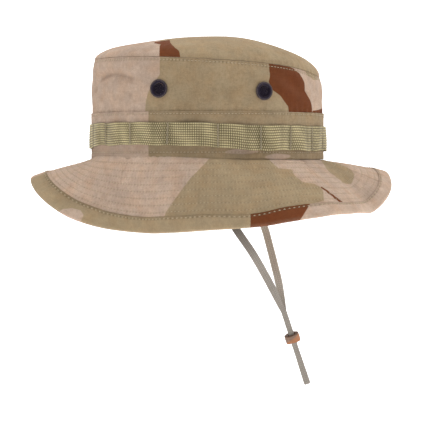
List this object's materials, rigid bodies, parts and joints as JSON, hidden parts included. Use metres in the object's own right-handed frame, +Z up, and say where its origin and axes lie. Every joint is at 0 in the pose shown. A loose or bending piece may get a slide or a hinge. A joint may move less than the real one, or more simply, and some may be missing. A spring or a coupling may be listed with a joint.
{
  "type": "boonie hat",
  "caption": "Soft field hat with an oval crown, a webbing loop band, screened vents, a drooping quilted brim and a chin cord with a sliding keeper.",
  "frame": {"origin": "centre of the head opening, in the plane where the crown meets the brim", "axes": "+Z up through the crown, -X towards the hat's front, -Y towards the wearer's left"},
  "size_m": [0.3241, 0.2325, 0.3136],
  "materials": {
    "tan": "matte cotton ripstop, printed",
    "khaki": "matte cotton ripstop, printed",
    "webbing": "woven nylon tape",
    "thread": "dense polyester stitches",
    "enamel": "black enamel",
    "screen": "fine black mesh",
    "braid": "flat braided nylon",
    "leather": "rough-cut leather",
    "label": "blank woven label"
  },
  "bodies": {
    "hat": {"bar_tack_01": "thread", "bar_tack_02": "thread", "bar_tack_03": "thread", "bar_tack_04": "thread", "bar_tack_05": "thread", "bar_tack_06": "thread", "bar_tack_07": "thread", "bar_tack_08": "thread", "bar_tack_09": "thread", "bar_tack_10": "thread", "bar_tack_11": "thread", "bar_tack_12": "thread", "bar_tack_13": "thread", "bar_tack_14": "thread", "bar_tack_15": "thread", "bar_tack_16": "thread", "bar_tack_17": "thread", "bar_tack_18": "thread", "bar_tack_19": "thread", "base_band": "khaki", "brim_binding": "khaki", "brim_lower_left": "khaki", "brim_lower_right": "khaki", "brim_upper_left": "tan", "brim_upper_right": "tan", "cord_anchor_left": "khaki", "cord_anchor_right": "khaki", "crown_seam_tape": "khaki", "crown_side_left": "tan", "crown_side_right": "tan", "crown_tip": "khaki", "foliage_webbing": "webbing", "size_label": "label", "sweatband": "khaki", "vent_eyelet_1": "enamel", "vent_eyelet_2": "enamel", "vent_eyelet_3": "enamel", "vent_eyelet_4": "enamel", "vent_screen_1": "screen", "vent_screen_2": "screen", "vent_screen_3": "screen", "vent_screen_4": "screen", "vent_washer_1": "enamel", "vent_washer_2": "enamel", "vent_washer_3": "enamel", "vent_washer_4": "enamel"},
    "chin_cord": {"chin_cord_left": "braid", "chin_cord_right": "braid"},
    "slider": {"cord_slider": "leather"}
  },
  "joints": [
    {"name": "chin_cord_swing", "type": "hinge", "parent": "hat", "child": "chin_cord", "pos_m": [0, 0, -0.003], "axis": [0, 1, 0], "range_deg": [-50, 85]},
    {"name": "slider_slide", "type": "slide", "parent": "chin_cord", "child": "slider", "axis": [0.3048, 0.242, -0.9212], "range_m": [-0.018, 0.036]}
  ]
}
